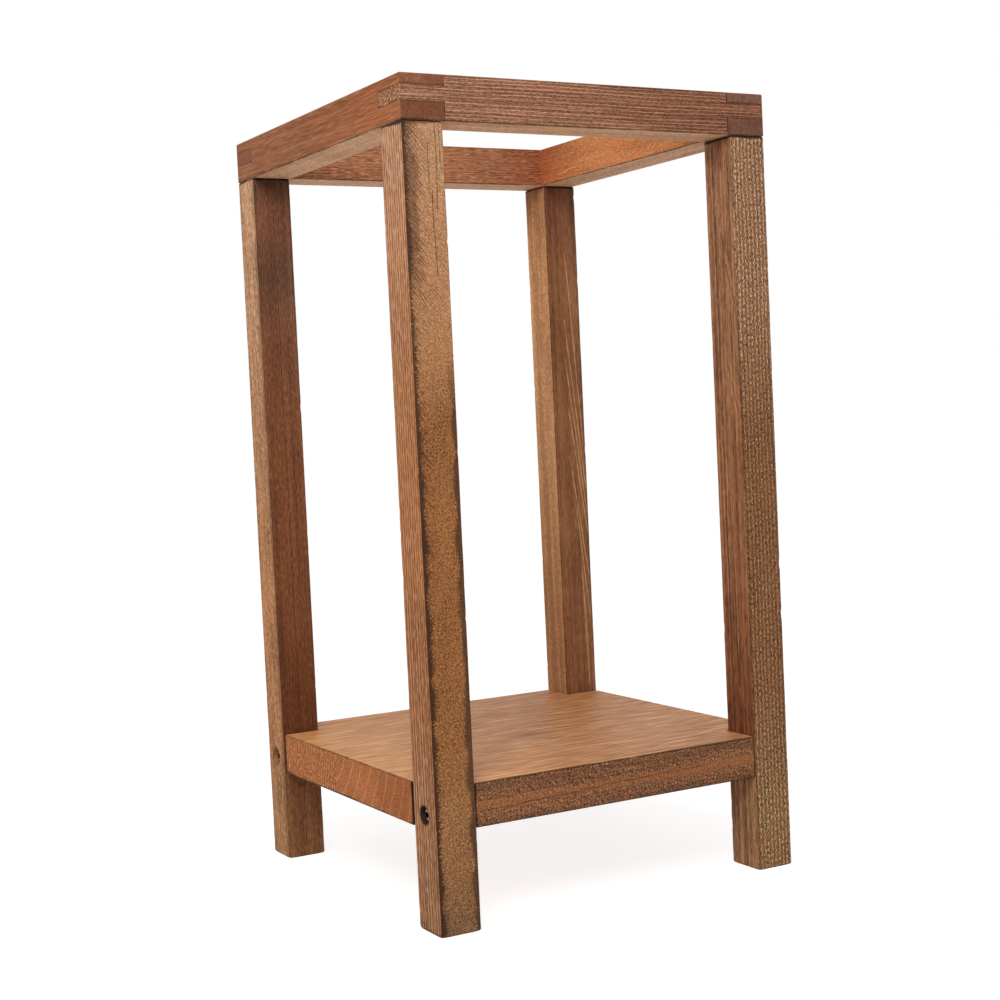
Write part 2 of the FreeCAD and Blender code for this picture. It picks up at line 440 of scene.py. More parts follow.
def cut_sockets(bm, places):
    """Closes each head's rim with a hexagon socket."""
    top = -HEAD_SEAT + HEAD_HEIGHT
    for place in places:
        rim = []
        for edge in bm.edges:
            if not edge.is_boundary:
                continue
            middle = place.inverted() @ ((edge.verts[0].co + edge.verts[1].co) / 2)
            if abs(middle.z - top) < CLOSE and math.hypot(middle.x, middle.y) < HEAD_RADIUS:
                rim.append(edge)
        hexagon = bmesh.ops.create_circle(
            bm, cap_ends=False, radius=SOCKET_RADIUS, segments=SOCKET_SIDES,
            matrix=place @ Matrix.Translation((0, 0, top)),
        )["verts"]
        hexagon_edges = list({edge for vert in hexagon for edge in vert.link_edges})
        cut = bmesh.ops.subdivide_edges(bm, edges=hexagon_edges, cuts=SCREW_STEPS // SOCKET_SIDES - 1)
        mouth = only(EDGE, cut["geom"])
        bmesh.ops.bridge_loops(bm, edges=rim + mouth)
        wall = bmesh.ops.extrude_edge_only(bm, edges=mouth)["geom"]
        inward = place.to_3x3() @ Vector((0, 0, -SOCKET_DEPTH))
        bmesh.ops.translate(bm, verts=only(VERT, wall), vec=inward)
        bmesh.ops.edgeloop_fill(bm, edges=only(EDGE, wall))


def screws(node, places, material):
    """A group of screws as one piece that stands for its node."""
    bm = turned(screw_profile(), places)
    cut_sockets(bm, places)
    bmesh.ops.recalc_face_normals(bm, faces=bm.faces[:])
    made = add_mesh(bm, node + "_steel")
    made.data.shade_smooth()
    made.data.set_sharp_from_angle(angle=SMOOTH_ANGLE)
    return stand_for(made, node, [material])


# Node helpers

def srgb(red, green, blue):
    """The linear colour that shows as these screen values of 0 to 255."""
    def linear(level):
        share = level / 255
        return share / 12.92 if share <= 0.04045 else ((share + 0.055) / 1.055) ** 2.4
    return (linear(red), linear(green), linear(blue), 1.0)


class Board:
    """Lays nodes in one tree: a socket given as a value is linked, and anything else is set."""

    def __init__(self, tree):
        self.tree = tree

    def put(self, socket, value):
        if isinstance(value, bpy.types.NodeSocket):
            self.tree.links.new(value, socket)
        else:
            socket.default_value = value

    def node(self, kind, values=None, **settings):
        made = self.tree.nodes.new(kind)
        for name, setting in settings.items():
            setattr(made, name, setting)
        for name, value in (values or {}).items():
            self.put(made.inputs[name], value)
        return made

    def calc(self, operation, *values):
        return self.node("ShaderNodeMath", dict(enumerate(values)), operation=operation).outputs[0]

    def plus(self, first, second):
        return self.calc("ADD", first, second)

    def minus(self, first, second):
        return self.calc("SUBTRACT", first, second)

    def times(self, first, second):
        return self.calc("MULTIPLY", first, second)

    def over(self, first, second):
        return self.calc("DIVIDE", first, second)

    def gap(self, first, second):
        return self.calc("ABSOLUTE", self.minus(first, second))

    def arrow(self, operation, *values):
        return self.node("ShaderNodeVectorMath", dict(enumerate(values)), operation=operation).outputs[0]

    def join(self, x, y, z):
        return self.node("ShaderNodeCombineXYZ", {"X": x, "Y": y, "Z": z}).outputs[0]

    def split(self, arrow):
        return self.node("ShaderNodeSeparateXYZ", {"Vector": arrow}).outputs

    def spread(self, value, low, high, to_low=0.0, to_high=1.0, smooth=False):
        values = {"Value": value, "From Min": low, "From Max": high, "To Min": to_low, "To Max": to_high}
        kind = "SMOOTHSTEP" if smooth else "LINEAR"
        return self.node("ShaderNodeMapRange", values, interpolation_type=kind).outputs["Result"]

    def noise(self, arrow, detail=2.0, rough=0.5):
        values = {"Vector": arrow, "Scale": 1.0, "Detail": detail, "Roughness": rough}
        return self.node("ShaderNodeTexNoise", values).outputs["Fac"]

    def mix(self, share, first, second, blend="MIX"):
        values = {0: share, 6: first, 7: second}
        return self.node("ShaderNodeMix", values, data_type="RGBA", blend_type=blend).outputs[2]

    def place(self, tree, values):
        made = self.node("ShaderNodeGroup", node_tree=tree)
        for name, value in values.items():
            self.put(made.inputs[name], value)
        return made.outputs


def start_group(name, inputs, outputs):
    """A new shader group; inputs and outputs map a kind of socket to the names of its sockets."""
    tree = bpy.data.node_groups.new(name, "ShaderNodeTree")
    for way, kinds in (("INPUT", inputs), ("OUTPUT", outputs)):
        for kind, names in kinds.items():
            for socket in names:
                tree.interface.new_socket(socket, in_out=way, socket_type="NodeSocket" + kind)
    board = Board(tree)
    return board, board.node("NodeGroupInput").outputs, board.node("NodeGroupOutput").inputs


def blank_board(holder):
    """An emptied node tree of a material or of the world."""
    holder.use_nodes = True
    holder.node_tree.nodes.clear()
    return Board(holder.node_tree)


# Shared timber effects, with sizes in mm

BEND_SIZE = (110.0, 22.0)
TINT_SIZE = (3.5, 1.6)
CLOUD_SIZE = (60.0, 18.0)
SWELL_SIZE = (18.0, 18.0, 18.0)
TOOTH_SIZE = (1.1, 1.1, 1.1)
TOOTH_REACH = 5.0
THINNEST_BAND = 0.05
EDGE_FADE = 40.0
DRIFT_SIZE = (16.0, 7.0, 1.0)
STROKE_LENGTH = 7.0
HATCH_FADE = 25.0
MARK_SWAY_LENGTH = 34.0
MARK_SWELL_LENGTH = 5.0
MARK_REACH = 3.0
MARK_FADE = 5.0

# How far apart the noise is read for neighbouring strokes or marks, so that they differ
ROW_STEP = 3.7

# The sizes of a figure that shape its grain, by the names that the figure and the grain's sockets share
GRAIN_SIZES = (
    "ring_pitch", "ring_waver", "ring_line_width", "line_length", "line_width", "fibre_length", "fibre_width",
    "fibre_lean", "fleck_length", "fleck_width",
)
GRAIN_EFFECTS = ("rings", "ring_lines", "lines", "fibres", "flecks", "tints", "clouds")
TONE_EFFECTS = ("rings", "lines", "fibres", "clouds")


def make_grain():
    """Growth rings round the pith, long lines, short fibres, flecks, tints and slow clouds, along X in mm."""
    board, given, out = start_group(
        "timber_grain", {"Vector": ["place"], "Float": GRAIN_SIZES}, {"Float": GRAIN_EFFECTS},
    )

    def streak(place, length, width, shift, detail=2.0, rough=0.5):
        size = board.join(length, width, width)
        moved = board.arrow("ADD", place, (shift, shift, shift))
        return board.noise(board.arrow("DIVIDE", moved, size), detail, rough)

    place = given["place"]
    turn = {"Vector": place, "Angle": board.calc("RADIANS", given["fibre_lean"])}
    leant = board.node("ShaderNodeVectorRotate", turn, rotation_type="Y_AXIS").outputs[0]
    strands = streak(leant, given["fibre_length"], given["fibre_width"], shift=17.0, rough=0.7)
    fibres = board.spread(strands, 0.35, 0.65)
    board.put(out["fibres"], fibres)

    parts = board.split(place)
    off_axis = board.join(0.0, parts["Y"], parts["Z"])
    radius = board.node("ShaderNodeVectorMath", {0: off_axis}, operation="LENGTH").outputs["Value"]
    bend = board.minus(streak(place, *BEND_SIZE, shift=0.0, detail=3.0, rough=0.55), 0.5)
    swayed = board.calc("MULTIPLY_ADD", bend, board.times(given["ring_waver"], 4.0), radius)
    phase = board.calc("FRACT", board.over(swayed, given["ring_pitch"]))
    rise = board.spread(phase, 0.0, 0.75, smooth=True)
    fall = board.spread(phase, 0.84, 1.0, 1.0, 0.0, smooth=True)
    board.put(out["rings"], board.times(rise, fall))
    half = given["ring_line_width"]
    line = board.spread(board.gap(phase, 0.5), board.times(half, 0.25), half, 1.0, 0.0, smooth=True)
    board.put(out["ring_lines"], board.times(line, board.spread(fibres, 0.1, 0.7, 0.3, 1.0)))

    lines = streak(place, given["line_length"], given["line_width"], shift=29.0)
    board.put(out["lines"], board.spread(lines, 0.34, 0.66))
    flecks = streak(leant, given["fleck_length"], given["fleck_width"], shift=41.0, detail=1.0)
    board.put(out["flecks"], board.spread(flecks, 0.28, 0.72))
    tints = streak(leant, *TINT_SIZE, shift=57.0, detail=1.0)
    board.put(out["tints"], board.spread(tints, 0.3, 0.7))
    clouds = streak(place, *CLOUD_SIZE, shift=73.0)
    board.put(out["clouds"], board.spread(clouds, 0.28, 0.72))
    return board.tree


def make_stain():
    """The stain's colour from dark through middle to light, as the tone goes from 0 to 1."""
    board, given, out = start_group(
        "timber_stain", {"Float": ["Tone"], "Color": ["Dark", "Middle", "Light"]}, {"Color": ["Colour"]},
    )
    lower = board.mix(board.spread(given["Tone"], 0.0, 0.5), given["Dark"], given["Middle"])
    board.put(out["Colour"], board.mix(board.spread(given["Tone"], 0.5, 1.0), lower, given["Light"]))
    return board.tree


def make_edge_stain():
    """A ragged band along an edge, where the stain has soaked in: 1 at the edge, 0 past the band."""
    board, given, out = start_group(
        "edge_stain", {"Vector": ["Vector"], "Float": ["Distance", "Width", "Ragged"]}, {"Float": ["Mask"]},
    )
    slow = board.noise(board.arrow("DIVIDE", given["Vector"], SWELL_SIZE), detail=2)
    quick = board.noise(board.arrow("DIVIDE", given["Vector"], TOOTH_SIZE), detail=1)
    swell = board.spread(slow, 0.3, 0.7, 0.5, 1.4)
    reach = board.times(given["Width"], swell)
    depth = board.times(given["Ragged"], TOOTH_REACH)
    tooth = board.times(board.minus(quick, 0.5), depth)
    outer = board.calc("MAXIMUM", board.plus(reach, tooth), THINNEST_BAND)
    inner = board.times(outer, 0.5)
    board.put(out["Mask"], board.spread(given["Distance"], inner, outer, 1.0, 0.0, smooth=True))
    return board.tree


def make_saw_hatch():
    """Broken parallel strokes that a saw leaves across the grain, leaning by an angle in degrees."""
    board, given, out = start_group(
        "saw_hatch", {"Float": ["Across", "Along", "Lean", "Pitch"]}, {"Float": ["Mask"]},
    )
    angle = board.calc("RADIANS", given["Lean"])
    sine, cosine = board.calc("SINE", angle), board.calc("COSINE", angle)
    step = board.plus(board.times(given["Across"], cosine), board.times(given["Along"], sine))
    run = board.minus(board.times(given["Along"], cosine), board.times(given["Across"], sine))
    drift = board.noise(board.arrow("DIVIDE", board.join(run, step, 0.0), DRIFT_SIZE), detail=1)
    count = board.plus(board.over(step, given["Pitch"]), board.times(drift, 2.0))
    phase = board.gap(board.calc("FRACT", count), 0.5)
    stroke = board.spread(phase, 0.12, 0.27, 1.0, 0.0, smooth=True)
    number = board.times(board.calc("FLOOR", count), ROW_STEP)
    broken = board.noise(board.join(board.over(run, STROKE_LENGTH), number, 0.0), detail=1)
    board.put(out["Mask"], board.times(stroke, board.spread(broken, 0.4, 0.6)))
    return board.tree


def make_long_mark():
    """A thin wandering line along the grain, such as a check, a scratch or a dark vein."""
    board, given, out = start_group(
        "long_mark",
        {"Float": ["Across", "Along", "Place", "Low", "High", "Width", "Wander", "Lean"]},
        {"Float": ["Mask"]},
    )
    row = board.times(given["Place"], ROW_STEP)
    slow = board.noise(board.join(board.over(given["Along"], MARK_SWAY_LENGTH), row, 0.0), detail=2)
    quick = board.noise(board.join(board.over(given["Along"], MARK_SWELL_LENGTH), row, 9.0), detail=1)
    reach = board.times(given["Wander"], MARK_REACH)
    sway = board.times(board.minus(slow, 0.5), reach)
    run = board.minus(given["Along"], given["Low"])
    leant = board.calc("MULTIPLY_ADD", run, given["Lean"], given["Place"])
    off = board.gap(given["Across"], board.plus(leant, sway))
    half = board.times(given["Width"], board.spread(quick, 0.3, 0.7, 0.25, 0.9))
    line = board.spread(off, board.times(half, 0.3), half, 1.0, 0.0, smooth=True)
    start = board.spread(given["Along"], given["Low"], board.plus(given["Low"], MARK_FADE))
    stop = board.spread(given["Along"], board.minus(given["High"], MARK_FADE), given["High"], 1.0, 0.0)
    board.put(out["Mask"], board.times(line, board.times(start, stop)))
    return board.tree


GRAIN = make_grain()
STAIN = make_stain()
EDGE_STAIN = make_edge_stain()
SAW_HATCH = make_saw_hatch()
LONG_MARK = make_long_mark()


@dataclass
class Figure:
    """How one face of timber is figured: lengths in mm, angles in degrees, strengths as shares."""
    along: int
    across: int
    middle: tuple
    depth: float
    pith: tuple = (0.0, 0.0, 0.0)
    ring_pitch: float = 4.0
    ring_waver: float = 1.0
    ring_line_width: float = 0.14
    line_length: float = 160.0
    line_width: float = 2.0
    fibre_length: float = 8.0
    fibre_width: float = 0.7
    fibre_lean: float = 0.0
    fleck_length: float = 3.0
    fleck_width: float = 0.9
    fleck_rows: float = 0.0
    rings: float = 0.0
    ring_lines: float = 0.0
    lines: float = 0.0
    fibres: float = 0.5
    clouds: float = 0.3
    flecks: float = 0.0
    fleck_cover: float = 0.3
    fleck_colour: tuple = (205, 165, 125)
    pores: float = 0.0
    pore_cover: float = 0.3
    pore_colour: tuple = (84, 50, 30)
    roughness: tuple = (0.55, 0.72)


TIMBER_SHEEN = 0.15
TIMBER_RELIEF = 0.08 * MM
FLECK_SOFT = 0.08
WARM_TINT = (1.05, 0.98, 0.95, 1)
COOL_TINT = (0.95, 1.02, 1.05, 1)

# The turn that lays a face's grain along X, by the axis that the grain runs along
GRAIN_TURNS = {
    X: (0.0, 0.0, 0.0),
    Y: (0.0, 0.0, math.radians(-90)),
    Z: (0.0, math.radians(90), 0.0),
}


def shade(colour, depth):
    """A stain colour made deeper and redder, or with a negative depth paler and yellower."""
    red, green, blue = colour
    if depth > 0:
        return srgb(red * (1 - depth), green * (1 - 1.12 * depth), blue * (1 - 1.2 * depth))
    return srgb(red * (1 - 0.8 * depth), green * (1 - depth), blue * (1 - 1.15 * depth))


def cover_edge(cover):
    """The level under which the flecks' pattern covers this share of a face."""
    return 0.5 - 0.7 * (0.5 - cover)


class TimberFinish:
    """One face's timber: it starts from a figure, takes marks, and closes with its shader."""

    def __init__(self, name, figure):
        self.figure = figure
        self.closed = False
        self.material = bpy.data.materials.new(name)
        board = self.board = blank_board(self.material)
        seen = board.node("ShaderNodeTexCoord").outputs["Object"]
        self.place = board.node("ShaderNodeMapping", {"Vector": seen, "Scale": (1 / MM,) * 3}).outputs[0]
        self.parts = board.split(self.place)
        from_pith = board.arrow("SUBTRACT", self.place, figure.pith)
        turn = GRAIN_TURNS[figure.along]
        grain = board.place(GRAIN, {
            "place": board.node("ShaderNodeMapping", {"Vector": from_pith, "Rotation": turn}).outputs[0],
            **{size: getattr(figure, size) for size in GRAIN_SIZES},
        })
        self.tone = 0.5
        for effect in TONE_EFFECTS:
            share = getattr(figure, effect)
            if share:
                self.tone = board.calc("MULTIPLY_ADD", board.minus(grain[effect], 0.5), share, self.tone)
        self.colour = board.place(STAIN, {
            "Tone": self.tone,
            "Dark": shade(figure.middle, figure.depth),
            "Middle": srgb(*figure.middle),
            "Light": shade(figure.middle, -figure.depth),
        })["Colour"]
        self.height = self.tone
        if figure.ring_lines:
            self.lay(grain["ring_lines"], figure.ring_lines, figure.fleck_colour, sink=-0.3)
        if figure.flecks:
            edge = 1.0 - cover_edge(figure.fleck_cover)
            spots = board.spread(grain["flecks"], edge - FLECK_SOFT, edge + FLECK_SOFT)
            if figure.fleck_rows:
                rows = board.spread(grain["rings"], 0.35, 0.85, 1.0 - figure.fleck_rows, 1.0)
                spots = board.times(spots, rows)
            self.lay(spots, figure.flecks, figure.fleck_colour, sink=-0.5)
        if figure.pores:
            edge = cover_edge(figure.pore_cover)
            spots = board.spread(grain["flecks"], edge - FLECK_SOFT, edge + FLECK_SOFT, 1.0, 0.0)
            self.lay(spots, figure.pores, figure.pore_colour, sink=0.5)
        tint = board.mix(grain["tints"], WARM_TINT, COOL_TINT)
        self.colour = board.mix(1.0, self.colour, tint, blend="MULTIPLY")

    def lay(self, mask, share, colour, sink=0.0):
        """Lays a colour where the mask is 1, and sinks the surface there by a share of the relief."""
        cover = self.board.times(mask, share)
        self.colour = self.board.mix(cover, self.colour, srgb(*colour))
        if sink:
            self.height = self.board.calc("MULTIPLY_ADD", cover, -sink, self.height)
        return self

    def between(self, low, high, soft, axis=None, fade=None):
        """1 between two places along an axis or the grain; the far end is as soft unless a fade is given."""
        along = self.parts[self.figure.along if axis is None else axis]
        start = self.board.spread(along, low, low + soft)
        stop = self.board.spread(along, high - (fade or soft), high, 1.0, 0.0)
        return self.board.times(start, stop)

    def wash(self, low, high, soft, colour, axis=None, fade=None):
        """Takes the colour from its middle to another between two places, for changes in the stain and for
        painted light and shade.
        """
        change = tuple(new / old for new, old in zip(srgb(*colour), srgb(*self.figure.middle)))
        cover = self.between(low, high, soft, axis, fade)
        self.colour = self.board.mix(cover, self.colour, change, blend="MULTIPLY")
        return self

    def veil(self, low, high, soft, colour, share):
        """Lays a colour thinly between two places along the grain."""
        return self.lay(self.between(low, high, soft), share, colour)

    def band(self, distance, width, ragged):
        """1 where the distance is under a width, with a ragged border."""
        return self.board.place(EDGE_STAIN, {
            "Vector": self.place, "Distance": distance, "Width": width, "Ragged": ragged,
        })["Mask"]

    def edge(self, axis, place, width, colour, share=0.75, ragged=0.4, low=None, high=None):
        """Darkens an edge that lies at a place along an axis."""
        distance = self.board.gap(self.parts[axis], place)
        mask = self.band(distance, width, ragged)
        if low is not None:
            mask = self.board.times(mask, self.between(low, high, EDGE_FADE))
        return self.lay(mask, share, colour)

    def rim(self, across, along, radius, width, colour, share=0.6, ragged=0.5):
        """Darkens the surface round the mouth of a hole."""
        board, figure = self.board, self.figure
        step_across = board.minus(self.parts[figure.across], across)
        step_along = board.minus(self.parts[figure.along], along)
        step = board.join(step_across, step_along, 0.0)
        off = board.node("ShaderNodeVectorMath", {0: step}, operation="LENGTH").outputs["Value"]
        distance = board.gap(off, radius)
        return self.lay(self.band(distance, width, ragged), share, colour)

    def hatch(self, low, high, lean, pitch, colour, share=0.6, near=None, reach=10.0):
        """Saw strokes between two places along the grain, near one edge or over the whole width."""
        across = self.parts[self.figure.across]
        mask = self.board.place(SAW_HATCH, {
            "Across": across, "Along": self.parts[self.figure.along], "Lean": lean, "Pitch": pitch,
        })["Mask"]
        mask = self.board.times(mask, self.between(low, high, HATCH_FADE))
        if near is not None:
            distance = self.board.gap(across, near)
            by_edge = self.board.spread(distance, 0.4 * reach, reach, 1.0, 0.0)
            mask = self.board.times(mask, by_edge)
        return self.lay(mask, share, colour, sink=0.5)

    def mark(
        self, place, low, high, width, colour, share=0.8, wander=1.0, lean=0.0, sink=0.8, crosswise=False,
    ):
        """A thin mark from a place across the face, running from low to high along the grain or crosswise."""
        across, along = self.figure.across, self.figure.along
        if crosswise:
            across, along = along, across
        mask = self.board.place(LONG_MARK, {
            "Across": self.parts[across],
            "Along": self.parts[along],
            "Place": place,
            "Low": low,
            "High": high,
            "Width": width,
            "Wander": wander,
            "Lean": lean,
        })["Mask"]
        return self.lay(mask, share, colour, sink)

    def done(self):
        """The finished material, closed with its shader the first time that it is asked for."""
        if self.closed:
            return self.material
        self.closed = True
        board, figure = self.board, self.figure
        rough = board.spread(self.tone, 0.2, 0.8, figure.roughness[1], figure.roughness[0])
        bump = board.node(
            "ShaderNodeBump", {"Strength": 1.0, "Distance": TIMBER_RELIEF, "Height": self.height}
        )
        shader = board.node("ShaderNodeBsdfPrincipled", {
            "Base Color": self.colour,
            "Roughness": rough,
            "Specular IOR Level": TIMBER_SHEEN,
            "Normal": bump.outputs[0],
        })
        board.node("ShaderNodeOutputMaterial", {"Surface": shader.outputs[0]})
        return self.material


STEEL_DARK = (74, 56, 46)
STEEL_BRIGHT = (168, 152, 140)
SMEAR_SIZE = (2 * MM, 2 * MM, 2 * MM)


def steel_finish():
    """Plated steel, a little smeared."""
    finish = bpy.data.materials.new("screw_steel")
    board = blank_board(finish)
    seen = board.node("ShaderNodeTexCoord").outputs["Object"]
    smear = board.noise(board.arrow("DIVIDE", seen, SMEAR_SIZE), detail=3)
    shader = board.node("ShaderNodeBsdfPrincipled", {
        "Base Color": board.mix(smear, srgb(*STEEL_DARK), srgb(*STEEL_BRIGHT)),
        "Metallic": 1.0,
        "Roughness": board.spread(smear, 0.3, 0.7, 0.2, 0.36),
    })
    board.node("ShaderNodeOutputMaterial", {"Surface": shader.outputs[0]})
    return finish


# Finishes, face by face; places are in mm in the stand's own frame, and FAR lies past every piece

# Dark stain for edges and rims; along the rails' lower edges it is also painted shade
DEEP_STAIN_AND_SHADE = (52, 30, 18)
# Near black, for joint lines; at the legs' tops and in the shelf's notches it is painted shade
JOINT_STAIN_AND_SHADE = (30, 17, 10)
FAR = 1000.0
STAND_HALF = FRAME_HIGH.x / MM
RAIL_INSIDE = FRAME_INSIDE[X] / MM
LEG_INSIDE_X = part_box("front_right_leg")[0].x / MM
LEG_INSIDE_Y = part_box("back_right_leg")[0].y / MM
LEG_TOP = FRAME_LOW.z / MM
SHELF_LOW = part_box("shelf_front_board")[0].z / MM
SHELF_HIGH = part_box("shelf_front_board")[1].z / MM
SHELF_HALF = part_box("shelf_front_board")[1].x / MM
NOTCH_Y = LEG_INSIDE_Y - SHELF_LEG_GAP / MM
GLUE_LINE_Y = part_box("shelf_front_board")[1].y / MM


def rail_face(name, figure):
    """A rail's upright face, with stain and painted shade along its lower edge."""
    return TimberFinish(name, figure).edge(Z, LEG_TOP, 0.9, DEEP_STAIN_AND_SHADE, 0.8, ragged=0.3)


def rail_underside(name, figure):
    """A rail's underside, outlined by the stain on its edges."""
    finish = TimberFinish(name, figure)
    for place in (-STAND_HALF, -RAIL_INSIDE, RAIL_INSIDE, STAND_HALF):
        finish.edge(figure.across, place, 1.1, DEEP_STAIN_AND_SHADE, 0.75, ragged=0.3)
    for place in (-STAND_HALF, STAND_HALF):
        finish.edge(figure.along, place, 1.6, DEEP_STAIN_AND_SHADE, 0.85, ragged=0.2)
    return finish


def rail_end(name, figure, side_axis):
    """The end of a tenon or a finger, outlined by the joint round it."""
    finish = TimberFinish(name, figure)
    for place in (TENON_BOTTOM / MM, TENON_TOP / MM):
        finish.edge(Z, place, 0.8, JOINT_STAIN_AND_SHADE, 0.75, ragged=0.2)
    for place in (-RAIL_INSIDE, RAIL_INSIDE):
        finish.edge(side_axis, place, 1.0, JOINT_STAIN_AND_SHADE, 0.8, ragged=0.2)
    # The lower edge, over the leg's top, is darkened with stain and painted shade
    return finish.edge(Z, LEG_TOP, 1.0, DEEP_STAIN_AND_SHADE, 0.8, ragged=0.3)


def leg_face(name, figure, edges):
    """A leg's face, with stain gathered at its two long edges and where it meets the floor, and painted shade
    where it meets the frame.
    """
    finish = TimberFinish(name, figure)
    for place in edges:
        finish.edge(figure.across, place, 1.0, DEEP_STAIN_AND_SHADE, 0.6)
    # Painted shade in the groove under the frame
    finish.edge(Z, LEG_TOP, 2.4, JOINT_STAIN_AND_SHADE, 0.95)
    finish.edge(Z, 0.0, 1.0, DEEP_STAIN_AND_SHADE, 0.6)
    return finish


def leg_side(name, figure, edges):
    """A leg's left or right face, with stain round the mouth of its screw hole."""
    finish = leg_face(name, figure, edges)
    hole_place = sum(edges) / 2
    hole_height = SHELF_LOW + SHELF_SCREW_ABOVE_UNDERSIDE / MM
    return finish.rim(hole_place, hole_height, COUNTERBORE_RADIUS / MM, 1.6, DEEP_STAIN_AND_SHADE)


def shelf_end(name, figure):
    """An end of the shelf, with stain along its edges and painted shade in its notches."""
    finish = TimberFinish(name, figure)
    finish.edge(Z, SHELF_LOW, 2.0, DEEP_STAIN_AND_SHADE, 0.9, ragged=0.2)
    finish.edge(Z, SHELF_HIGH, 1.1, DEEP_STAIN_AND_SHADE, 0.75)
    # Painted shade in the gaps between the notches and the legs
    for side in (-1, 1):
        finish.edge(X, side * LEG_INSIDE_X, 2.0, JOINT_STAIN_AND_SHADE, 0.95, ragged=0.1)
        finish.edge(Y, side * NOTCH_Y, 1.8, JOINT_STAIN_AND_SHADE, 0.8, ragged=0.1)
    return finish


# The frame

front_rail_face = rail_face("front_rail_face", Figure(
    X, Z, (125, 78, 54), 0.45, pith=(0.0, -140.0, 330.0), ring_pitch=2.3, ring_waver=1.1,
    ring_line_width=0.18, ring_lines=0.85, line_length=300.0, line_width=0.9, lines=0.5, fibre_length=60.0,
    fibre_width=0.6, fibres=0.35, clouds=0.2, fleck_length=2.2, fleck_width=0.42, flecks=0.27,
    fleck_colour=(206, 154, 121), pores=0.44, pore_colour=(86, 50, 35),
))
front_rail_face.wash(-FAR, 40.0, 160.0, (134, 87, 63)).wash(20.0, FAR, 110.0, (115, 69, 47))
# Darker and redder towards the right end: partly painted shade in the frame's inner back right corner
back_rail_face = rail_face("back_rail_face", Figure(
    X, Z, (160, 101, 68), 0.4, pith=(0.0, 110.0, 400.0), ring_pitch=2.4, ring_waver=3.0, rings=0.1,
    line_length=70.0, line_width=0.9, lines=0.4, fibre_length=10.0, fibre_width=0.6, fibres=0.4, clouds=0.1,
    fleck_length=6.0, fleck_width=0.45, flecks=0.5, fleck_cover=0.26, fleck_colour=(214, 160, 120),
    pores=0.45, pore_cover=0.28, pore_colour=(98, 50, 30),
)).wash(60.0, FAR, 50.0, (146, 80, 50))
left_rail_face = rail_face("left_rail_face", Figure(
    Y, Z, (153, 94, 58), 0.28, line_length=180.0, lines=0.35, fibre_length=24.0, fibre_width=0.8,
    fibres=0.35, clouds=0.2, fleck_length=16.0, flecks=0.3, fleck_cover=0.16, fleck_colour=(200, 142, 108),
    pores=0.45, pore_cover=0.16, pore_colour=(112, 56, 34),
)).wash(-FAR, 20.0, 120.0, (163, 97, 57))
right_rail_face = rail_face("right_rail_face", Figure(
    Y, Z, (202, 127, 77), 0.3, line_length=110.0, line_width=3.0, lines=0.18, fibre_length=5.0,
    fibre_width=0.9, fibres=0.4, clouds=0.25, fleck_length=2.4, fleck_width=1.0, flecks=0.5, fleck_cover=0.14,
    fleck_colour=(236, 170, 112), pores=0.3, pore_cover=0.16, pore_colour=(150, 78, 42),
))
# Darker and redder towards the back: partly painted shade in the frame's inner back right corner
right_rail_face.wash(50.0, FAR, 60.0, (172, 92, 54))
right_rail_face.edge(Y, RAIL_INSIDE, 0.9, (222, 142, 96), 0.7, ragged=0.1)
right_rail_face.mark(519.0, 52.0, 84.0, 0.9, (238, 186, 136), 0.7, wander=0.6, lean=-0.08)
# The undersides' pale middle colour is partly painted light, bounced up from the floor
RAIL_UNDERSIDE = Figure(
    X, Y, (222, 172, 132), 0.26, line_width=5.0, lines=0.15, fibre_length=5.0, fibre_width=1.4,
)
rail_underside_across = rail_underside("rail_underside_across", RAIL_UNDERSIDE)
rail_underside_deep = rail_underside("rail_underside_deep", replace(RAIL_UNDERSIDE, along=Y, across=X))
RAIL_TOP = Figure(X, Y, (152, 98, 62), 0.32, line_width=3.0, lines=0.45, fibre_length=6.0, fibres=0.4)
rail_top_across = TimberFinish("rail_top_across", RAIL_TOP)
rail_top_deep = TimberFinish("rail_top_deep", replace(RAIL_TOP, along=Y, across=X))
TENON_END = Figure(
    X, Z, (150, 95, 64), 0.28, fibre_width=1.0, fibres=0.4, fleck_width=1.5, flecks=0.75, fleck_cover=0.2,
    fleck_colour=(226, 182, 144), pores=0.5, pore_cover=0.25, pore_colour=(106, 58, 38),
)
front_tenon_end = rail_end("front_tenon_end", TENON_END, Y)
back_tenon_end = rail_end("back_tenon_end", replace(
    TENON_END, middle=(150, 88, 62), flecks=0.4, fleck_colour=(182, 96, 78), pores=0.3,
), Y)
finger_end = rail_end("finger_end", Figure(
    Y, Z, (132, 83, 58), 0.26, line_length=3.0, line_width=3.0, lines=0.25, fibre_width=0.9,
), X).wash(0.0, FAR, 60.0, (126, 86, 68), X).wash(-FAR, 526.0, 4.0, (118, 71, 48), Z)

# The legs

# The end grain; its dark band at the top is painted shade under the frame
leg_end = TimberFinish("leg_end", Figure(
    Z, X, (104, 64, 42), 0.3, ring_pitch=6.0, rings=0.3, fibre_width=1.2,
)).edge(Z, LEG_TOP, 3.0, JOINT_STAIN_AND_SHADE, 0.95)
# The bores' dark colour is partly painted shade inside the holes
bore_wood_and_painted_shade = TimberFinish("bore_wood_and_painted_shade", Figure(
    Z, X, (66, 38, 26), 0.35, fibre_length=1.4, fibre_width=1.4, roughness=(0.7, 0.85),
))
# A paler copy for the back left leg's bore: painted light on the bore's wall
bore_wood_and_painted_light = TimberFinish("bore_wood_and_painted_light", Figure(
    Z, X, (166, 112, 70), 0.3, fibre_length=1.4, fibre_width=1.4, roughness=(0.7, 0.85),
))

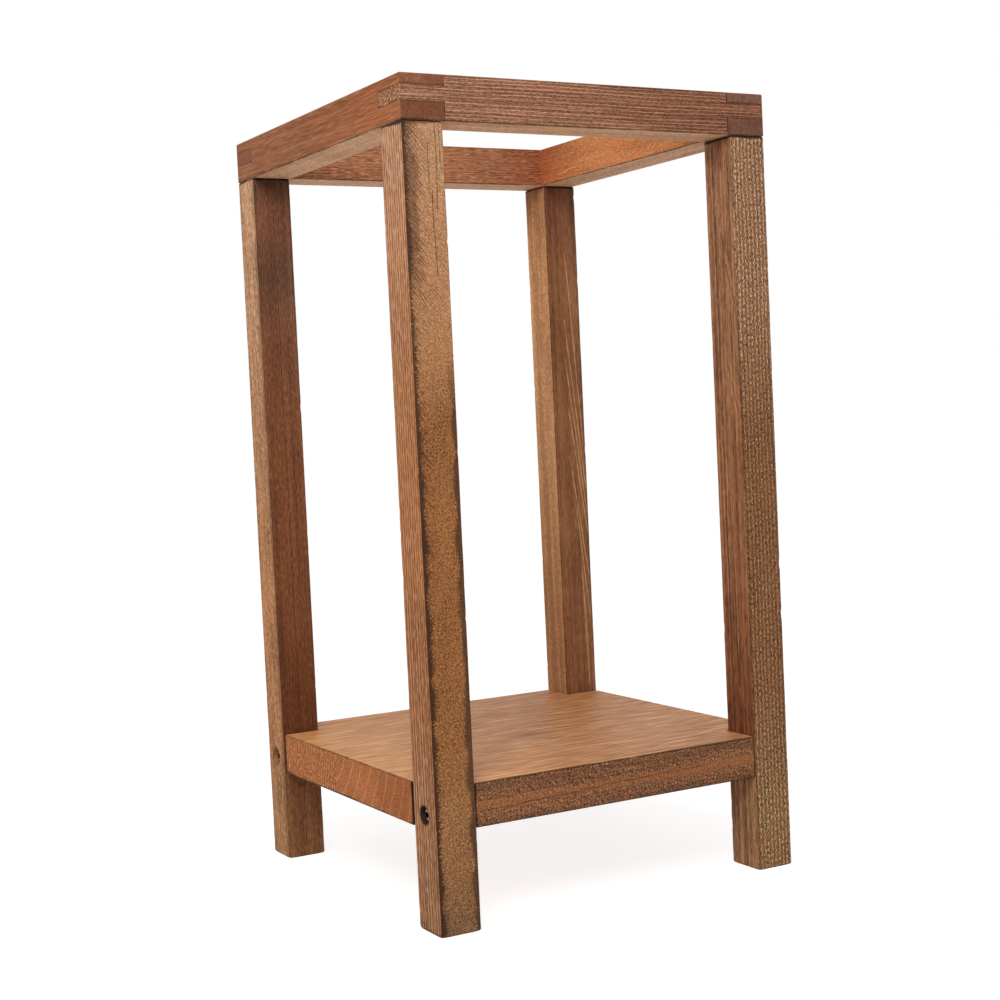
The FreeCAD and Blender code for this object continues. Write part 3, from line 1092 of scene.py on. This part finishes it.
front_left_side = leg_side("front_left_leg_side", Figure(
    Z, Y, (157, 94, 51), 0.42, pith=(-125.0, -330.0, 0.0), ring_pitch=3.1, ring_waver=0.4, rings=0.5,
    ring_lines=0.3, fibre_length=8.5, fibre_width=1.0, fibres=0.36, clouds=0.15, fleck_length=6.5,
    flecks=0.36, fleck_cover=0.25, fleck_colour=(232, 182, 136),
), (-STAND_HALF, -LEG_INSIDE_Y))
# Paler from 330 mm up and darker below 130 mm: partly painted light falling from above, partly the timber's
# own colour
front_left_side.wash(330.0, FAR, 200.0, (174, 117, 79)).wash(-FAR, 130.0, 60.0, (154, 98, 57))
for vein_place in (-137.0, -133.5, -129.5, -125.0, -121.0, -116.5, -112.5):
    front_left_side.mark(vein_place, -10.0, 215.0, 1.2, (80, 49, 30), 0.75, wander=0.15)
front_left_side.edge(Z, 0.0, 3.0, DEEP_STAIN_AND_SHADE, 0.8, ragged=1.0)
front_left_side.mark(2.9, -123.0, -108.0, 1.2, (46, 25, 14), 0.9, wander=0.2, lean=0.2, crosswise=True)

front_left_front = leg_face("front_left_leg_front", Figure(
    Z, X, (143, 88, 47), 0.42, line_length=9.0, line_width=4.0, lines=0.12, fibre_length=2.4,
    fibre_width=0.55, fibre_lean=40.0, fibres=0.6, clouds=0.2, fleck_length=1.6, fleck_width=0.5,
    flecks=0.56, fleck_colour=(198, 144, 92), pores=0.58, pore_colour=(82, 48, 25),
), (-STAND_HALF, -LEG_INSIDE_X))
# Paler towards the top and darker at the foot: partly painted light falling from above, partly the timber's
# own colour
front_left_front.wash(325.0, FAR, 70.0, (183, 125, 82)).wash(400.0, FAR, 110.0, (149, 98, 59))
front_left_front.veil(330.0, FAR, 70.0, (178, 126, 84), 0.45)
front_left_front.wash(-FAR, 120.0, 50.0, (147, 97, 57)).wash(-FAR, 45.0, 35.0, (122, 77, 44))
front_left_front.edge(X, -STAND_HALF, 10.0, (88, 57, 40), 0.6, ragged=2.4, low=390.0, high=FAR)
front_left_front.edge(X, -STAND_HALF, 3.4, (50, 29, 17), 0.85, ragged=2.0)
front_left_front.edge(X, -STAND_HALF, 6.2, (74, 44, 25), 0.6, ragged=3.0, low=-FAR, high=400.0)
front_left_front.edge(X, -STAND_HALF, 4.4, (54, 32, 19), 0.6, ragged=1.4, low=-FAR, high=300.0)
front_left_front.edge(X, -LEG_INSIDE_X, 6.0, (66, 42, 28), 0.8, ragged=0.9, low=-FAR, high=370.0)
front_left_front.hatch(380.0, FAR, 40.0, 1.7, (54, 33, 22), 0.9, near=-STAND_HALF, reach=18.0)
front_left_front.hatch(410.0, FAR, 52.0, 1.3, (50, 30, 20), 0.7, near=-STAND_HALF, reach=12.0)
front_left_front.hatch(360.0, 520.0, 40.0, 1.7, (116, 78, 52), 0.45)
front_left_front.hatch(250.0, 400.0, 40.0, 3.0, (70, 42, 25), 0.7, near=-STAND_HALF, reach=13.0)
CHECKS = (
    (-120.5, 414.0, 470.0, 0.8, 0.8),
    (-122.0, 462.0, 502.0, 0.6, 0.6),
    (-117.0, 452.0, 512.0, 0.8, 0.7),
    (-114.2, 476.0, 512.0, 0.6, 0.6),
)
for check_place, check_low, check_high, check_width, check_share in CHECKS:
    front_left_front.mark(
        check_place, check_low, check_high, check_width, (62, 36, 20), check_share, wander=1.4,
    )

PALE_SCRATCH = (206, 162, 120)
front_right_side = leg_side("front_right_leg_side", Figure(
    Z, Y, (141, 91, 58), 0.42, line_length=230.0, line_width=2.4, lines=0.45, fibre_length=9.0,
    fibre_width=1.2, fibres=0.45, fleck_length=5.0, fleck_width=1.4, flecks=0.2, fleck_cover=0.25,
    fleck_colour=(190, 136, 100),
), (-STAND_HALF, -LEG_INSIDE_Y))
# The paler colour from 300 mm up is partly painted light falling from above, partly the timber's own colour
front_right_side.wash(300.0, FAR, 150.0, (148, 102, 70)).wash(-FAR, 80.0, 20.0, (150, 108, 72))
front_right_side.wash(66.0, 240.0, 14.0, (114, 66, 40), fade=130.0)
front_right_side.mark(-118.5, 95.0, 508.0, 2.0, (84, 50, 32), 0.8, wander=0.6)
front_right_side.mark(-127.0, 440.0, 492.0, 1.6, (204, 142, 92), 0.7, wander=0.3)
for flame_low, flame_high in ((392.0, 432.0), (316.0, 360.0)):
    front_right_side.mark(
        -136.5, flame_low, flame_high, 6.0, (184, 128, 84), 0.6, wander=0.5, lean=0.2, sink=0.0,
    )
    front_right_side.mark(-138.5, flame_low, flame_high, 1.8, (88, 53, 34), 0.7, wander=0.5, lean=0.3)
for scratch_place, scratch_low in ((-130.0, 330.0), (-117.5, 192.0), (-126.0, 150.0), (-121.0, 262.0)):
    front_right_side.mark(scratch_place, scratch_low, scratch_low + 26.0, 0.8, PALE_SCRATCH, 0.6, wander=0.4)

front_right_front = leg_face("front_right_leg_front", Figure(
    Z, X, (103, 61, 34), 0.42, pith=(-160.0, -124.0, 0.0), ring_pitch=3.2, rings=0.2, fibre_length=4.0,
    fibre_width=0.55, fibre_lean=6.0, fibres=0.6, fleck_length=2.2, fleck_width=0.5, fleck_rows=0.7,
    flecks=0.8, fleck_cover=0.42, fleck_colour=(206, 157, 111), pores=0.42, pore_colour=(74, 44, 26),
), (LEG_INSIDE_X, STAND_HALF))
# The paler colour from 310 mm up is partly painted light falling from above, partly the timber's own colour
front_right_front.wash(310.0, FAR, 90.0, (123, 80, 52)).wash(-FAR, 130.0, 80.0, (117, 76, 45))

back_left_side = leg_side("back_left_leg_side", Figure(
    Z, Y, (175, 116, 72), 0.36, line_length=70.0, line_width=3.0, lines=0.3, fibre_length=2.6,
    fibre_width=1.2, fleck_length=3.4, fleck_width=1.1, flecks=0.45, fleck_cover=0.22,
    fleck_colour=(234, 184, 134), pores=0.3, pore_cover=0.2, pore_colour=(124, 80, 50),
), (LEG_INSIDE_Y, STAND_HALF))
# Paler from 240 mm up and darker below 90 mm: partly painted light falling from above, partly the timber's
# own colour
back_left_side.wash(240.0, FAR, 200.0, (192, 138, 98)).wash(-FAR, 90.0, 40.0, (164, 112, 68))
# Painted shade along the front edge
back_left_side.edge(Y, LEG_INSIDE_Y, 6.0, (112, 72, 46), 0.55, ragged=0.5)

# The dark middle colour of this face is partly painted shade
back_left_front = leg_face("back_left_leg_front", Figure(
    Z, X, (115, 67, 40), 0.42, line_length=260.0, line_width=2.4, lines=0.22, fibre_length=5.0,
    fibre_width=1.0, clouds=0.25,
), (-STAND_HALF, -LEG_INSIDE_X))
back_left_front.wash(300.0, FAR, 150.0, (114, 72, 49)).wash(-FAR, 72.0, 8.0, (126, 82, 52))
# From 488 mm up the face is darker: painted shadow under the frame
back_left_front.wash(400.0, 475.0, 35.0, (92, 55, 34)).wash(488.0, FAR, 20.0, (84, 49, 30))
back_left_front.wash(66.0, 200.0, 8.0, (94, 52, 26), fade=110.0)
back_left_front.wash(-128.0, -100.0, 14.0, (122, 74, 46), X)
back_left_front.mark(-125.5, 0.0, 508.0, 0.8, (58, 32, 18), 0.65, wander=0.5)
back_left_front.mark(-127.0, 256.0, 272.0, 0.7, (172, 114, 76), 0.6, wander=0.4, lean=0.3)

back_right_side = leg_side("back_right_leg_side", Figure(
    Z, Y, (186, 131, 85), 0.34, line_length=120.0, line_width=5.0, lines=0.3, fibre_length=2.4,
    fibre_width=1.3, fibres=0.4, clouds=0.2,
), (LEG_INSIDE_Y, STAND_HALF))
# Darker from 470 mm up: painted shade below the frame
back_right_side.wash(470.0, FAR, 40.0, (168, 114, 74)).wash(240.0, 480.0, 60.0, (206, 148, 101))
back_right_side.wash(-FAR, 230.0, 70.0, (174, 119, 75))
back_right_side.mark(128.0, 60.0, 450.0, 9.0, (140, 92, 56), 0.3, wander=2.0, sink=0.0)

back_right_front = leg_face("back_right_leg_front", Figure(
    Z, X, (130, 83, 52), 0.4, line_length=320.0, line_width=2.4, lines=0.35, fibre_width=1.0, fibres=0.4,
), (LEG_INSIDE_X, STAND_HALF))
back_right_front.wash(430.0, FAR, 70.0, (104, 62, 40)).wash(124.0, FAR, 14.0, (140, 94, 64), X)
PALE_STRIPES = (
    (137.7, 299.0, 457.0, -0.064),
    (138.5, 262.0, 405.0, -0.10),
    (138.8, 240.0, 372.0, -0.115),
    (138.5, 225.0, 330.0, -0.13),
    (138.0, 190.0, 292.0, -0.14),
    (137.5, 155.0, 250.0, -0.10),
    (134.0, 100.0, 200.0, -0.03),
)
for stripe_place, stripe_low, stripe_high, stripe_lean in PALE_STRIPES:
    back_right_front.mark(
        stripe_place, stripe_low, stripe_high, 1.1, (214, 158, 106), 0.8, wander=0.4, lean=stripe_lean,
    )
back_right_front.edge(X, STAND_HALF, 1.4, (58, 35, 28), 0.7)

# The shelf

SHELF_TOP = Figure(
    X, Y, (188, 126, 77), 0.28, line_width=7.0, lines=0.12, fibre_length=32.0, fibre_width=2.2, fibres=0.55,
    clouds=0.1, fleck_length=26.0, fleck_width=1.9, flecks=0.55, fleck_cover=0.18,
    fleck_colour=(228, 180, 138), pores=0.45, pore_cover=0.18, pore_colour=(142, 88, 53),
    roughness=(0.45, 0.58),
)
SCUFFS = (
    (-64.0, 22.0, 96.0),
    (-48.0, 70.0, 128.0),
    (-30.0, 40.0, 118.0),
    (-12.0, 84.0, 136.0),
    (20.0, 30.0, 110.0),
    (-92.0, 20.0, 70.0),
)


def board_top(name, figure):
    """A shelf board's broad face: paler to the left, with stain at its edges and in the glue line."""
    finish = TimberFinish(name, figure).wash(-FAR, 20.0, 160.0, (210, 145, 86))
    finish.veil(-FAR, 0.0, 140.0, (208, 144, 88), 0.4)
    for place, low, high in SCUFFS:
        finish.mark(place, low, high, 2.2, (232, 188, 154), 0.5, wander=1.2, sink=0.0)
    finish.edge(Y, GLUE_LINE_Y, 0.5, DEEP_STAIN_AND_SHADE, 0.55, ragged=0.1)
    finish.edge(X, -SHELF_HALF, 1.1, DEEP_STAIN_AND_SHADE, 0.7, ragged=0.2)
    return finish.edge(Y, -SHELF_HALF, 1.2, DEEP_STAIN_AND_SHADE, 0.8, ragged=0.2)


shelf_front_top = board_top("shelf_front_top", SHELF_TOP)
shelf_back_top = board_top("shelf_back_top", replace(SHELF_TOP, pith=(43.0, 61.0, 17.0)))

shelf_edge = TimberFinish("shelf_edge", Figure(
    X, Z, (112, 67, 40), 0.5, line_length=60.0, line_width=3.0, lines=0.25, fibre_length=3.0,
    fibre_width=0.55, fibre_lean=40.0, fibres=0.7, clouds=0.2, fleck_length=1.9, fleck_width=0.5,
    flecks=0.75, fleck_colour=(206, 150, 106), pores=0.75, pore_colour=(66, 39, 24),
))
shelf_edge.mark(79.5, -125.0, 125.0, 10.0, (176, 112, 66), 0.3, wander=1.0, sink=0.0)
shelf_edge.mark(78.5, 10.0, 125.0, 9.0, (166, 96, 56), 0.22, wander=1.5, sink=0.0)
shelf_edge.mark(90.5, -118.0, 118.0, 6.0, (84, 54, 36), 0.32, wander=1.0, sink=0.0)
for vein_height, vein_lean in ((76.0, 0.03), (83.0, 0.02)):
    shelf_edge.mark(vein_height, -112.0, 70.0, 1.0, (78, 46, 28), 0.6, lean=vein_lean)
shelf_edge.edge(Z, SHELF_LOW, 5.0, (88, 56, 38), 0.35, ragged=0.8).edge(Z, SHELF_LOW, 1.2, JOINT_STAIN_AND_SHADE, 0.8)
shelf_edge.edge(Z, SHELF_HIGH, 1.8, DEEP_STAIN_AND_SHADE, 0.75)
# Painted shade in the gaps between the notches and the legs
for notch_side in (-1, 1):
    shelf_edge.edge(X, notch_side * LEG_INSIDE_X, 1.4, JOINT_STAIN_AND_SHADE, 0.9, ragged=0.1)
    shelf_edge.edge(Y, notch_side * NOTCH_Y, 2.0, JOINT_STAIN_AND_SHADE, 0.95, ragged=0.1)

SHELF_END = Figure(
    X, Z, (176, 101, 51), 0.34, pith=(0.0, 90.0, 160.0), ring_pitch=12.0, ring_waver=1.2,
    ring_line_width=0.09, ring_lines=0.55, fibre_width=1.0, fibres=0.4, clouds=0.2, flecks=0.35,
    fleck_cover=0.25, fleck_colour=(236, 172, 112), pores=0.3, pore_cover=0.25, pore_colour=(124, 64, 30),
)
shelf_front_end = shelf_end("shelf_front_end", SHELF_END).wash(-FAR, -20.0, 70.0, (158, 86, 40), Y)
shelf_back_end = shelf_end("shelf_back_end", replace(
    SHELF_END, along=Z, across=Y, middle=(170, 93, 43), pith=(-139.0, -400.0, 0.0), ring_pitch=3.2,
    ring_waver=0.3, rings=0.45, ring_lines=0.0, fibre_length=2.0, fleck_length=2.2, fleck_width=0.8,
    fleck_rows=0.6, flecks=0.8, fleck_colour=(244, 182, 122), pores=0.6, pore_colour=(116, 58, 26),
))
screw_steel = steel_finish()


# The stand: what each piece is finished with, and how strongly and by which seed a leg is worn

RAILS_ACROSS = (
    ("front_rail", front_rail_face, front_tenon_end),
    ("back_rail", back_rail_face, back_tenon_end),
)
RAILS_DEEP = (
    ("left_rail", left_rail_face),
    ("right_rail", right_rail_face),
)
LEGS = (
    ("front_left_leg", front_left_side, front_left_front, bore_wood_and_painted_shade, NEAR_LEG_NICK, 13),
    ("front_right_leg", front_right_side, front_right_front, bore_wood_and_painted_shade, LEG_NICK, 17),
    ("back_left_leg", back_left_side, back_left_front, bore_wood_and_painted_light, LEG_NICK, 19),
    ("back_right_leg", back_right_side, back_right_front, bore_wood_and_painted_shade, LEG_NICK, 23),
)
BOARDS = (
    ("shelf_front_board", 1, shelf_front_top, shelf_front_end),
    ("shelf_back_board", -1, shelf_back_top, shelf_back_end),
)


def build_stand():
    made = []
    for node, face, tenon_end in RAILS_ACROSS:
        finishes = (face, rail_underside_across, tenon_end, bore_wood_and_painted_shade, rail_top_across)
        made.append(rail(node, X, finishes))
    for node, face in RAILS_DEEP:
        finishes = (face, rail_underside_deep, finger_end, bore_wood_and_painted_shade, rail_top_deep)
        made.append(rail(node, Y, finishes))
    for node, side, front, bored, nick, seed in LEGS:
        made.append(leg(node, (side, front, leg_end, bored), nick, seed))
    for node, glued_side, top, end in BOARDS:
        made.append(shelf_board(node, glued_side, (top, shelf_edge, end, bore_wood_and_painted_shade)))
    places = screw_places()
    drill(made, hole_cutter(places))
    for node in ("frame_screws", "shelf_screws"):
        screws(node, places[node], screw_steel)


# Floor, light and camera

WHITE = (1, 1, 1, 1)
FLOOR_REACH = 6.0
FLOOR_TONE = (0.8, 0.8, 0.8, 1)
SHADED_TONE = (0.45, 0.45, 0.45, 1)
FLOOR_GLOW = 0.82
WORLD_LIGHT = 0.45
LAMP_PLACE = (-0.85, -1.05, 1.35)
LAMP_AIM = (0, 0, 0.35)
LAMP_SIZE = 1.0
LAMP_POWER = 18
CAMERA_PLACE = (-0.61361, -1.08698, 0.32705)
CAMERA_ANGLES = (29.258, -2.849, -2.717)
CAMERA_LENS = 61.46
CAMERA_SENSOR = 36


def sees_backdrop(board):
    """1 for what the eye, a reflection or a see-through ray meets, 0 for light that is only bounced."""
    ray = board.node("ShaderNodeLightPath").outputs
    seen = board.calc("MAXIMUM", ray["Is Camera Ray"], ray["Is Glossy Ray"])
    return board.calc("MAXIMUM", seen, ray["Is Transmission Ray"])


def lay_floor():
    """A pale floor that shows almost white and keeps a soft shadow."""
    bm = bmesh.new()
    bmesh.ops.create_grid(bm, x_segments=1, y_segments=1, size=FLOOR_REACH)
    floor = add_mesh(bm, "floor")
    finish = bpy.data.materials.new("pale_floor")
    board = blank_board(finish)
    matt = board.node("ShaderNodeBsdfDiffuse", {"Color": FLOOR_TONE}).outputs[0]
    shaded = board.node("ShaderNodeBsdfDiffuse", {"Color": SHADED_TONE}).outputs[0]
    glow = board.node("ShaderNodeEmission", {"Color": WHITE, "Strength": FLOOR_GLOW}).outputs[0]
    shown = board.node("ShaderNodeAddShader", {0: shaded, 1: glow}).outputs[0]
    either = board.node("ShaderNodeMixShader", {0: sees_backdrop(board), 1: matt, 2: shown}).outputs[0]
    board.node("ShaderNodeOutputMaterial", {"Surface": either})
    floor.data.materials.append(finish)


def light_world():
    """A white surround that shows white and lights the stand softly."""
    world = bpy.data.worlds.new("studio")
    bpy.context.scene.world = world
    board = blank_board(world)
    strength = board.spread(sees_backdrop(board), 0.0, 1.0, WORLD_LIGHT, 1.0)
    sky = board.node("ShaderNodeBackground", {"Color": WHITE, "Strength": strength})
    board.node("ShaderNodeOutputWorld", {"Surface": sky.outputs[0]})


def hang_lamp():
    """The main light, a round soft lamp to the left, in front and above."""
    lamp = bpy.data.lights.new("key_lamp", "AREA")
    lamp.shape = "DISK"
    lamp.size = LAMP_SIZE
    lamp.energy = LAMP_POWER
    holder = bpy.data.objects.new("key_lamp", lamp)
    holder.location = LAMP_PLACE
    holder.rotation_euler = (Vector(LAMP_AIM) - Vector(LAMP_PLACE)).to_track_quat("-Z", "Y").to_euler()
    bpy.context.collection.objects.link(holder)


def set_camera():
    """The photograph's viewpoint: place, yaw to the right of +Y, pitch up and roll."""
    yaw, pitch, roll = (math.radians(angle) for angle in CAMERA_ANGLES)
    ahead = Vector((
        math.sin(yaw) * math.cos(pitch),
        math.cos(yaw) * math.cos(pitch),
        math.sin(pitch),
    ))
    level = Vector((math.cos(yaw), -math.sin(yaw), 0))
    upright = level.cross(ahead)
    right = level * math.cos(roll) + upright * math.sin(roll)
    up = upright * math.cos(roll) - level * math.sin(roll)
    lens = bpy.data.cameras.new("camera")
    lens.sensor_width = CAMERA_SENSOR
    lens.lens = CAMERA_LENS
    camera = bpy.data.objects.new("camera", lens)
    turn = Matrix((right, up, -ahead)).transposed()
    camera.matrix_world = Matrix.Translation(CAMERA_PLACE) @ turn.to_4x4()
    bpy.context.collection.objects.link(camera)
    bpy.context.scene.camera = camera


build_stand()
lay_floor()
light_world()
hang_lamp()
set_camera()
bpy.context.scene.view_settings.view_transform = "Standard"
